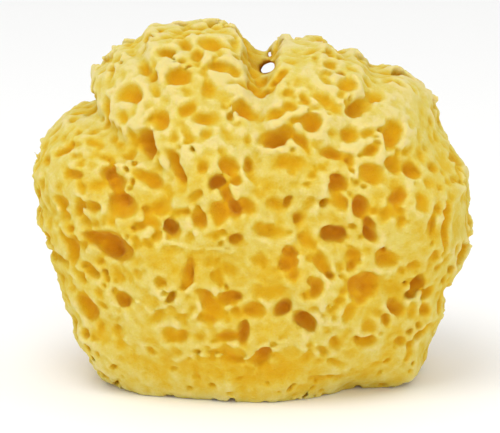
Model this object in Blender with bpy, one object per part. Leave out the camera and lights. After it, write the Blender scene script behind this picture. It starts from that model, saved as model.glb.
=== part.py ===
"""A honeycomb sea sponge, grown as one piece: a lobed dome on a flat cut root, pitted with pores.

Metres, +Z up. The origin is the centre of the flat root, and the face of the sponge looks along -Y.
"""

import math

import bmesh
import bpy
import numpy as np
from mathutils import Matrix, Vector
from mathutils.bvhtree import BVHTree

# Driving dimensions of the real sponge
WIDTH = 0.150
DEPTH = 0.108
BELLY_HEIGHT = 0.0615  # height of the point that the body swells about

# The face is laid out in pixels of the photograph, seen from a little above
OUTLINE_WIDTH_PX = 437.0
BELLY_PX = (252.5, 198.6)
FRAME_CENTRE_PX = (250.0, 216.5)
VIEW_TILT = math.radians(12.0)
VIEW_DISTANCE = 1.2
PIXEL = WIDTH / OUTLINE_WIDTH_PX

# Body: how boxy its cross-section is, and the waves that swell and dent its front, back and top
BODY_ROUNDNESS = 2.4
OUTLINE_SMOOTHING_DEG = 3.0
TOP_SHARE = 0.022  # seen from above, the outline's top lies this much further out than the body's
SWELLS = (
    # height of the wave, waves per metre along X, Y and Z, start angle
    (0.0015, (9.0, 13.0, 5.0), 0.7),
    (0.0014, (-14.0, 8.0, 12.0), 2.1),
    (0.0011, (19.0, -11.0, 16.0), 4.0),
    (0.0008, (-23.0, 17.0, -27.0), 1.2),
)
# Lumps and hollows of the face: across and down in pixels, reach in pixels, height in metres
FACE_LUMPS_PX = (
    (120, 60, 22, 0.0020), (150, 78, 15, -0.0030), (150, 112, 14, -0.0024), (200, 62, 28, 0.0026),
    (262, 90, 18, -0.0030), (330, 76, 34, 0.0022), (76, 160, 28, 0.0024), (112, 247, 22, -0.0030),
    (204, 205, 15, 0.0016), (208, 280, 28, 0.0018), (445, 232, 22, -0.0014), (225, 325, 26, 0.0016),
    (222, 371, 26, -0.0024), (404, 342, 26, -0.0016), (426, 292, 18, 0.0014), (350, 170, 30, 0.0016),
)
BODY_SUBDIVISIONS = 5
BODY_RATIO = 0.08  # share of the ball's triangles that the body keeps

# The notch between the two top lobes
CLEFT_CENTRE = (0.0050, -0.004, 0.1220)
CLEFT_HALF_SIZE = (0.0058, 0.0290, 0.0148)
CLEFT_LEAN = math.radians(14.0)

# Depth of a pore: a share of its mean half width, and an extra in metres
PORE_DEPTHS = {1: (0.55, 0.0008), 2: (0.90, 0.0018), 3: (1.15, 0.0038)}
PORE_GROWTH = 1.16  # a faceted pore is cut this much wider, to open as wide as a round one
PORE_SIDES = ((0.0029, 6), (1.0, 7))  # sides of a pore up to each mean half width
# Outline of a pore's cutter from its top to its bottom: radius and depth as shares of the half sizes
PORE_RINGS = ((0.92, -0.9), (1.0, 0.0), (0.64, 0.90))

# Pores off the face: as many as fit in a golden spiral, with these half widths
SPIRAL_PORES = 180
SPIRAL_HALF_WIDTH = (0.0030, 0.0050)
SPIRAL_STRETCH = (1.0, 1.6)
FACE_LIMIT = 0.22  # a spiral pore is left out where the body faces the viewer more than this
SEED = 21

# Channels in the cut root: across, deep, half length, half width, in metres
ROOT_CHANNELS = (
    (-0.030, 0.004, 0.0050, 0.0038),
    (-0.017, -0.015, 0.0042, 0.0034),
    (-0.014, 0.016, 0.0046, 0.0036),
    (0.012, 0.013, 0.0040, 0.0052),
    (0.017, -0.014, 0.0054, 0.0038),
    (0.033, 0.002, 0.0044, 0.0044),
)
ROOT_CHANNEL_DEPTH = 0.006

SPONGE_COLOUR = (0.847, 0.651, 0.180, 1.0)
SPONGE_ROUGHNESS = 0.85

# Outline in photograph pixels, anticlockwise from the right. Below the root it runs on, and is cut off
OUTLINE_PX = (
    (471, 200), (470, 180), (468, 163), (458, 148), (449, 131), (440, 122), (437, 100), (431, 87),
    (414, 74), (398, 67), (385, 66), (374, 65), (366, 54), (358, 46), (342, 43), (325, 36),
    (300, 34), (285, 33), (276, 40), (262, 46), (250, 36), (240, 28), (222, 20), (205, 19),
    (183, 20), (160, 22), (143, 23), (139, 36), (122, 41), (110, 49), (100, 60), (92, 68),
    (88, 82), (90, 92), (80, 103), (66, 108), (60, 119), (45, 132), (41, 146), (36, 160),
    (35, 180), (38, 200), (38, 220), (44, 234), (50, 252), (56, 270), (58, 290), (63, 308),
    (68, 326), (77, 343), (87, 360), (97, 371), (105, 380), (116, 390), (132, 400), (160, 413),
    (205, 422), (250, 431), (300, 422), (330, 408), (360, 392), (385, 388), (400, 386), (419, 377),
    (430, 363), (432, 350), (435, 335), (441, 325), (446, 308), (449, 294), (458, 280), (465, 262),
    (469, 240), (472, 220),
)

# Pores of the face: across and down in photograph pixels, half length, half width, tilt in degrees,
# depth class
FACE_PORES_PX = (
    # left top lobe
    (142, 66, 14, 6, -62, 2), (166, 51, 8, 6, -40, 2), (124, 90, 18, 9, -8, 1), (213, 42, 14, 10, -30, 1),
    (196, 55, 9, 6, -75, 2), (177, 77, 10, 9, 10, 2), (224, 66, 14, 7, 0, 2), (253, 70, 10, 5, -65, 2),
    (211, 88, 11, 9, -20, 2), (245, 108, 14, 7, -38, 2), (231, 112, 9, 4, -62, 3), (194, 107, 10, 5, 62, 2),
    (207, 117, 11, 6, 20, 1), (102, 108, 12, 7, -70, 2), (121, 114, 10, 6, -55, 1), (160, 116, 13, 8, -55, 2),
    (145, 141, 14, 9, -65, 3), (132, 138, 12, 5, -65, 2), (176, 168, 19, 5, -67, 3),
    # right top lobe
    (286, 57, 12, 6, -20, 1), (270, 80, 10, 6, 0, 2), (275, 111, 9, 7, -5, 2), (306, 97, 8, 6, -60, 2),
    (325, 94, 12, 6, -60, 1), (309, 122, 10, 8, 40, 2), (269, 139, 11, 8, 0, 3), (284, 136, 9, 6, 15, 2),
    (348, 83, 11, 8, -70, 1), (360, 107, 13, 7, 30, 2), (377, 95, 9, 6, 50, 1), (351, 132, 10, 8, -10, 3),
    (393, 130, 15, 9, 72, 2), (426, 116, 8, 8, 0, 1), (424, 141, 11, 6, -60, 1), (433, 167, 9, 7, 0, 2),
    (338, 154, 15, 6, -8, 2),
    # left flank
    (106, 172, 9, 7, -50, 3), (118, 183, 8, 7, -30, 3), (148, 176, 13, 7, -25, 2), (122, 206, 14, 10, -5, 3),
    (93, 240, 8, 7, 0, 3), (113, 247, 19, 14, -20, 3), (62, 201, 11, 6, -18, 2), (93, 205, 9, 5, -5, 2),
    (68, 177, 11, 5, -12, 1), (93, 184, 12, 5, -5, 1), (72, 250, 12, 5, -75, 2), (90, 272, 9, 5, -28, 1),
    (172, 226, 10, 6, -68, 3), (160, 206, 9, 6, 70, 1), (197, 219, 12, 6, -80, 2), (193, 196, 10, 4, 42, 1),
    # middle
    (230, 165, 10, 9, 40, 2), (249, 165, 10, 5, 80, 3), (220, 184, 10, 6, 15, 3), (234, 210, 10, 7, -55, 3),
    (246, 207, 9, 6, -35, 2), (286, 199, 8, 5, 65, 3), (274, 204, 9, 5, -15, 2), (298, 219, 8, 6, 80, 3),
    (270, 232, 17, 8, -5, 2), (237, 241, 8, 8, 0, 3), (292, 250, 10, 6, -5, 3), (281, 265, 9, 8, -20, 3),
    (293, 263, 7, 5, 0, 3), (259, 260, 11, 6, -68, 3), (218, 213, 11, 8, 60, 1), (188, 272, 15, 4, 88, 3),
    (280, 163, 26, 8, 0, 1), (320, 222, 8, 7, 0, 1), (310, 240, 10, 5, -30, 2), (338, 236, 14, 7, 0, 3),
    (327, 262, 11, 7, -75, 2),
    # right flank
    (334, 184, 11, 9, 60, 3), (358, 206, 11, 8, -75, 3), (373, 235, 10, 5, -42, 3), (395, 198, 8, 6, 50, 3),
    (400, 220, 7, 4, 85, 3), (388, 213, 8, 5, 8, 1), (387, 258, 13, 11, -10, 2), (409, 169, 10, 9, -50, 3),
    (396, 163, 9, 8, 0, 2), (374, 173, 14, 10, 0, 1), (424, 205, 13, 8, -60, 1), (429, 229, 12, 4, -82, 2),
    (446, 232, 16, 5, 87, 1), (449, 184, 5, 5, 0, 2), (355, 259, 9, 7, -60, 2), (445, 262, 8, 4, 20, 1),
    # lower left
    (85, 310, 16, 12, -45, 1), (93, 310, 8, 6, -60, 2), (123, 299, 8, 7, 10, 3), (116, 333, 8, 5, 85, 3),
    (160, 283, 8, 6, 5, 2), (173, 298, 8, 5, 60, 3), (155, 318, 14, 8, 35, 1), (171, 337, 9, 8, 0, 2),
    # lower middle
    (206, 295, 11, 6, -60, 2), (211, 315, 10, 9, 0, 2), (231, 298, 12, 6, 5, 2), (256, 309, 9, 8, -30, 2),
    (284, 308, 11, 8, 48, 3), (306, 319, 12, 9, -28, 3), (226, 336, 9, 5, 8, 3), (243, 334, 11, 6, 68, 3),
    (203, 338, 7, 5, 40, 2), (262, 353, 10, 5, 25, 3), (255, 362, 10, 7, 20, 2), (222, 370, 20, 9, 0, 1),
    (190, 374, 15, 9, 10, 1), (316, 287, 9, 5, 75, 3), (292, 354, 10, 6, -10, 1), (256, 288, 8, 5, -75, 1),
    # lower right
    (366, 288, 17, 12, -18, 2), (359, 298, 8, 7, 0, 3), (420, 281, 9, 9, 0, 3), (400, 306, 12, 7, -32, 3),
    (342, 340, 9, 5, -52, 3), (337, 361, 10, 5, -48, 2), (367, 340, 13, 9, 75, 2), (350, 313, 8, 6, -80, 1),
    (428, 310, 7, 6, -20, 1), (400, 341, 8, 6, -40, 1),
)

BELLY = np.array([0.0, 0.0, BELLY_HEIGHT])
VIEW_RIGHT = np.array([1.0, 0.0, 0.0])
VIEW_UP = np.array([0.0, math.sin(VIEW_TILT), math.cos(VIEW_TILT)])
VIEW_FORWARD = np.array([0.0, math.cos(VIEW_TILT), -math.sin(VIEW_TILT)])


def clear_scene():
    for obj in list(bpy.data.objects):
        bpy.data.objects.remove(obj)


def outline_radius(angles):
    """Distance from the belly to the outline, in the upright plane through it, at each angle from +X."""
    pixels = np.array(OUTLINE_PX, float)
    across = (pixels[:, 0] - BELLY_PX[0]) * PIXEL
    up = (BELLY_PX[1] - pixels[:, 1]) * PIXEL / math.cos(VIEW_TILT)
    bearing = np.arctan2(up, across)
    order = np.argsort(bearing)
    steps = np.radians(np.linspace(-OUTLINE_SMOOTHING_DEG, OUTLINE_SMOOTHING_DEG, 5))
    turned = (angles[:, None] + steps + math.pi) % (2 * math.pi) - math.pi
    reach = np.interp(turned, bearing[order], np.hypot(across, up)[order], period=2 * math.pi)
    return reach.mean(axis=1) * (1 - TOP_SHARE * np.maximum(np.sin(angles), 0))


def body_radius(directions):
    """Distance from the belly to the skin along each unit direction, before any pore is cut."""
    across, deep, up = directions.T
    flat = np.maximum(np.hypot(across, up), 1e-9)
    level = flat / outline_radius(np.arctan2(up, across))
    level = level**BODY_ROUNDNESS + (np.abs(deep) / (DEPTH / 2)) ** BODY_ROUNDNESS
    radius = level ** (-1 / BODY_ROUNDNESS)
    skin = directions * radius[:, None]
    swell = sum(
        height * np.sin(skin @ (2 * math.pi * np.array(waves)) + start) for height, waves, start in SWELLS
    )
    for px_across, px_down, px_reach, height in FACE_LUMPS_PX:
        centre = point_seen_at((px_across, px_down)) - BELLY
        apart = np.hypot(skin[:, 0] - centre[0], skin[:, 2] - centre[2])
        swell += height * np.exp(-((apart / (px_reach * PIXEL)) ** 2)) * (deep < 0)
    return radius + swell * np.abs(deep)


def body_depth(points):
    """How far each point lies outside the skin, measured along its line from the belly."""
    away = points - BELLY
    reach = np.maximum(np.linalg.norm(away, axis=1), 1e-9)
    return reach - body_radius(away / reach[:, None])


def skin_normal(point):
    """Outward direction of the skin near a point, from the slope of the depth around it."""
    step = 0.0008
    offsets = np.vstack([np.eye(3), -np.eye(3)]) * step
    depth = body_depth(point + offsets)
    slope = depth[:3] - depth[3:]
    return slope / np.linalg.norm(slope)


def point_seen_at(pixel):
    """Place on the upright view plane through the belly that shows at a photograph pixel."""
    across = (pixel[0] - BELLY_PX[0]) * PIXEL
    up = (BELLY_PX[1] - pixel[1]) * PIXEL
    return BELLY + across * VIEW_RIGHT + up * VIEW_UP


def first_hit(skin_tree, start, towards):
    """Point where the line from start first meets the faceted skin."""
    return np.array(skin_tree.ray_cast(Vector(start), Vector(towards - start))[0])


def tangent_frame(inward, along):
    """Rotation whose Z points inward and whose X lies as near to along as it can."""
    along = along - np.dot(along, inward) * inward
    along = along / np.linalg.norm(along)
    across = np.cross(inward, along)
    return Matrix(np.column_stack([along, across, inward]).tolist())


def face_pores(skin_tree):
    """The pores of the face: (place, frame, half sizes), sunk midway between the sight and the normal."""
    eye = point_seen_at(FRAME_CENTRE_PX) - VIEW_DISTANCE * VIEW_FORWARD
    pores = []
    for across, down, half_length, half_width, tilt, depth_class in FACE_PORES_PX:
        place = first_hit(skin_tree, eye, point_seen_at((across, down)))
        inward = VIEW_FORWARD - skin_normal(place)
        inward = inward / np.linalg.norm(inward)
        turn = math.radians(tilt)
        along = math.cos(turn) * VIEW_RIGHT + math.sin(turn) * VIEW_UP
        share, extra = PORE_DEPTHS[depth_class]
        half = np.array([half_length, half_width]) * PIXEL
        sink = share * half.mean() + extra
        pores.append((place, tangent_frame(inward, along), (half[0], half[1], sink)))
    return pores


def spiral_pores(skin_tree):
    """Pores over the sides, top and back, on a golden spiral of directions, each a little off its place."""
    chance = np.random.default_rng(SEED)
    golden_angle = math.pi * (3 - math.sqrt(5))
    pores = []
    for index in range(SPIRAL_PORES):
        height = 1 - 2 * (index + 0.5) / SPIRAL_PORES
        turn = golden_angle * index
        ring = math.sqrt(1 - height * height)
        direction = np.array([ring * math.cos(turn), ring * math.sin(turn), height])
        direction = direction + chance.normal(0, 0.045, 3)
        half_width = chance.uniform(*SPIRAL_HALF_WIDTH)
        half_length = half_width * chance.uniform(*SPIRAL_STRETCH)
        along = chance.normal(0, 1, 3)
        depth_class = int(chance.integers(1, 4))
        place = first_hit(skin_tree, BELLY + direction * 2 * WIDTH, BELLY)
        normal = skin_normal(place)
        if place[2] < half_length or -normal @ VIEW_FORWARD > FACE_LIMIT:
            continue
        share, extra = PORE_DEPTHS[depth_class]
        sink = share * (half_length + half_width) / 2 + extra
        pores.append((place, tangent_frame(-normal, along), (half_length, half_width, sink)))
    return pores


def root_pores():
    """The channels that the cut opens in the flat root."""
    upwards = np.array([0.0, 0.0, 1.0])
    frame = tangent_frame(upwards, VIEW_RIGHT)
    return [
        (np.array([across, deep, 0.0]), frame, (half_length, half_width, ROOT_CHANNEL_DEPTH))
        for across, deep, half_length, half_width in ROOT_CHANNELS
    ]


def new_object(name, mesh, collection):
    obj = bpy.data.objects.new(name, mesh)
    collection.objects.link(obj)
    return obj


def make_body():
    """The dome without pores: a ball pushed out to the skin, thinned, then cut flat at the root."""
    bm = bmesh.new()
    bmesh.ops.create_icosphere(bm, subdivisions=BODY_SUBDIVISIONS, radius=1.0)
    directions = np.array([vertex.co for vertex in bm.verts])
    directions /= np.linalg.norm(directions, axis=1)[:, None]
    skin = BELLY + directions * body_radius(directions)[:, None]
    for vertex, place in zip(bm.verts, skin):
        vertex.co = place
    mesh = bpy.data.meshes.new("sponge")
    bm.to_mesh(mesh)
    bm.free()
    return mesh


def cut_root(mesh):
    """Cuts the mesh flat at the floor and closes the cut with one face."""
    bm = bmesh.new()
    bm.from_mesh(mesh)
    everything = bm.verts[:] + bm.edges[:] + bm.faces[:]
    cut = bmesh.ops.bisect_plane(
        bm, geom=everything, dist=1e-6, plane_co=(0, 0, 0), plane_no=(0, 0, -1), clear_outer=True
    )
    rim = [item for item in cut["geom_cut"] if isinstance(item, bmesh.types.BMEdge)]
    bmesh.ops.contextual_create(bm, geom=rim)
    bmesh.ops.recalc_face_normals(bm, faces=bm.faces)
    bm.to_mesh(mesh)
    bm.free()


def add_bowl(bm, place, frame, half_size):
    """A closed faceted bowl in bm: it opens at place, sinks along the frame's Z, and stands out above."""
    mean = (half_size[0] + half_size[1]) / 2
    sides = next(count for limit, count in PORE_SIDES if mean <= limit)
    rings = []
    for radius, depth in PORE_RINGS:
        ring = []
        for index in range(sides):
            turn = 2 * math.pi * index / sides
            along = math.cos(turn) * radius * PORE_GROWTH * half_size[0]
            across = math.sin(turn) * radius * PORE_GROWTH * half_size[1]
            inward = depth * half_size[2]
            ring.append(bm.verts.new(Vector(place) + frame @ Vector((along, across, inward))))
        rings.append(ring)
    bm.faces.new(rings[0])
    bm.faces.new(rings[-1])
    for index in range(sides):
        after = (index + 1) % sides
        for upper, lower in zip(rings, rings[1:]):
            bm.faces.new((upper[index], lower[index], lower[after], upper[after]))


def make_cutter(name, pores, collection):
    """One hidden mesh that holds the ellipsoids of all these pores."""
    bm = bmesh.new()
    for place, frame, half_size in pores:
        add_bowl(bm, place, frame, half_size)
    bmesh.ops.recalc_face_normals(bm, faces=bm.faces)
    mesh = bpy.data.meshes.new(name)
    bm.to_mesh(mesh)
    bm.free()
    cutter = new_object(name, mesh, collection)
    cutter.hide_render = True
    cutter.display_type = "WIRE"
    return cutter


def cleft_pore():
    frame = Matrix.Rotation(CLEFT_LEAN, 3, "Y")
    return (np.array(CLEFT_CENTRE), frame, CLEFT_HALF_SIZE)


def middle_of(mesh):
    """Middle of the mesh's box over the floor."""
    places = np.array([vertex.co for vertex in mesh.vertices])
    middle = (places.min(axis=0) + places.max(axis=0)) / 2
    return Vector((middle[0], middle[1], 0.0))


def cut_with(obj, cutter):
    boolean = obj.modifiers.new(cutter.name, "BOOLEAN")
    boolean.operation = "DIFFERENCE"
    boolean.solver = "EXACT"
    boolean.use_self = True
    boolean.object = cutter


def sponge_material():
    material = bpy.data.materials.new("spongin")
    material.use_nodes = True
    shader = material.node_tree.nodes["Principled BSDF"]
    shader.inputs["Base Color"].default_value = SPONGE_COLOUR
    shader.inputs["Roughness"].default_value = SPONGE_ROUGHNESS
    shader.inputs["Metallic"].default_value = 0.0
    return material


def main():
    clear_scene()
    collection = bpy.context.scene.collection
    mesh = make_body()
    sponge = new_object("sponge", mesh, collection)
    thin = sponge.modifiers.new("thin", "DECIMATE")
    thin.ratio = BODY_RATIO
    graph = bpy.context.evaluated_depsgraph_get()
    sponge.data = bpy.data.meshes.new_from_object(sponge.evaluated_get(graph))
    sponge.modifiers.clear()
    cut_root(sponge.data)
    bm = bmesh.new()
    bm.from_mesh(sponge.data)
    skin_tree = BVHTree.FromBMesh(bm)
    bm.free()
    pores = face_pores(skin_tree) + spiral_pores(skin_tree) + root_pores() + [cleft_pore()]
    cutter = make_cutter("pore_cutter", pores, collection)
    cut_with(sponge, cutter)
    middle = middle_of(sponge.data)
    sponge.location = -middle
    cutter.location = -middle
    sponge.data.materials.append(sponge_material())
    sponge.data.shade_smooth()
    sponge.data.set_sharp_from_angle(angle=math.radians(35.0))


main()
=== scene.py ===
import math

import bpy
import numpy as np
from mathutils import Matrix, Vector


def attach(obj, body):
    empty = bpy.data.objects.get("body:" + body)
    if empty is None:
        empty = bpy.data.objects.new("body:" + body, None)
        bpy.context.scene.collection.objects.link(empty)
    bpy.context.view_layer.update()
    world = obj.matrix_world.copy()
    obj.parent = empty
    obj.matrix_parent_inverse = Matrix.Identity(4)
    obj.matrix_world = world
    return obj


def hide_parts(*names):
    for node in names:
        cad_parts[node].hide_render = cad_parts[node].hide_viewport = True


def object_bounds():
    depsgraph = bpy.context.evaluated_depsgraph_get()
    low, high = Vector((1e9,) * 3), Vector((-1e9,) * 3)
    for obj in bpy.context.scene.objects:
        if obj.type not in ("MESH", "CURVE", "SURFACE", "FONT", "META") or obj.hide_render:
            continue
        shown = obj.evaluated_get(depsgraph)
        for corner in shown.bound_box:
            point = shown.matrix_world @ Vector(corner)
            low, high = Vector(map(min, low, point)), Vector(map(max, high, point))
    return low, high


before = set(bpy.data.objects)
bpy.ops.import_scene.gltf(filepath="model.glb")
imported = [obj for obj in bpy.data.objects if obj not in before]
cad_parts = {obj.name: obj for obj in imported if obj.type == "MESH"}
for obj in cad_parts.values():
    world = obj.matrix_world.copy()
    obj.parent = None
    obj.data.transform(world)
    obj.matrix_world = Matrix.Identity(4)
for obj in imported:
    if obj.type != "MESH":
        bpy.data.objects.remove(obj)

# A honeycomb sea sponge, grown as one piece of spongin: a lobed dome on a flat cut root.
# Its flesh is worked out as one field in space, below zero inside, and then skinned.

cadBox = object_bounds()

# How the photograph sees the sponge. Pixels are those of its 500 by 433 frame
view = {
    "width": 0.150,  # the sponge's real width
    "widthPixels": 437.0,
    "framePixels": (500, 433),
    "bellyPixel": (252.5, 198.6),  # where the middle of the body shows
    "bellyHeight": 0.0615,
    "tilt": math.radians(12.0),  # how far the camera looks down
    "distance": 1.2,
}

body = {
    "depth": 0.108,
    "roundness": 2.4,  # 2 is an ellipsoid, more is boxier
    # long swells of the front and back: height, waves per metre along X, Y and Z, start
    "swells": (
        (0.0015, (9.0, 13.0, 5.0), 0.7), (0.0014, (-14.0, 8.0, 12.0), 2.1),
        (0.0011, (19.0, -11.0, 16.0), 4.0), (0.0008, (-23.0, 17.0, -27.0), 1.2),
    ),
    # lumps and hollows of the face: across, down and reach in pixels, height in metres
    "lumps": (
        (120, 60, 22, 0.0012), (150, 78, 15, -0.0014), (150, 112, 14, -0.0014), (200, 62, 28, 0.0014),
        (264, 92, 17, 0.0010), (330, 76, 34, 0.0014), (76, 160, 28, 0.0016), (112, 247, 22, -0.0024),
        (204, 205, 15, 0.0016), (208, 280, 28, 0.0018), (445, 232, 22, -0.0014), (225, 325, 26, 0.0016),
        (222, 371, 26, -0.0024), (404, 342, 26, -0.0016), (426, 292, 18, 0.0014), (350, 170, 30, 0.0016),
    ),
    # silhouette in pixels, anticlockwise from the right; under the root it runs on and is cut off
    "outline": (
        (473, 200), (472, 182), (471, 166), (464, 155), (455, 145), (450, 131), (443, 124), (441, 112),
        (438, 97), (433, 88), (425, 82), (415, 74), (402, 68), (392, 65), (383, 68), (374, 67), (367, 55),
        (360, 48), (345, 48), (335, 42), (327, 35), (315, 34), (300, 34), (290, 32), (281, 31), (275, 43),
        (266, 53), (254, 50), (248, 46), (246, 36), (240, 26), (225, 20), (208, 18), (185, 22), (165, 24),
        (143, 22), (139, 36), (130, 40), (120, 42), (110, 49), (103, 57), (91, 66), (89, 73), (86, 82),
        (89, 90), (96, 97), (85, 104), (75, 107), (65, 106), (55, 120), (47, 129), (41, 134), (36, 150),
        (32, 161), (34, 172), (35, 186), (40, 199), (33, 211), (37, 220), (43, 232), (48, 245), (47, 258),
        (53, 268), (56, 287), (63, 305), (67, 315), (69, 328), (77, 342), (87, 358), (97, 370), (105, 380),
        (116, 390), (132, 400), (160, 413), (205, 422), (250, 431), (300, 422), (330, 408), (360, 392),
        (385, 388), (400, 386), (419, 377), (430, 363), (432, 350), (436, 335), (442, 325), (446, 310),
        (450, 303), (447, 293), (450, 288), (459, 278), (465, 262), (467, 250), (471, 235), (473, 222),
        (470, 212),
    ),
    "outlineSmoothing": 1.0,  # degrees each way
    "outlineShare": 0.985,  # the rest of the silhouette's reach is rough flesh
    "topShare": 0.022,  # seen from above, the silhouette's top lies this much further out
    "outlineBearings": 2881,  # at which the outline's reach is worked out
    "slopeStep": 0.0008,  # the small step that tells which way the skin faces
    "sightHalvings": 22,  # how often the way to the skin is halved
}

# Pores: the share of the mean half width that a pore sinks, and an extra in metres, by depth class
poreDepth = {
    "classes": (1.0, 1.5, 2.0, 2.5, 3.0, 3.5),
    "share": (0.30, 0.42, 0.55, 0.68, 0.85, 1.00),
    "extra": (0.0004, 0.0006, 0.0009, 0.0014, 0.0023, 0.0034),
}

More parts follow.
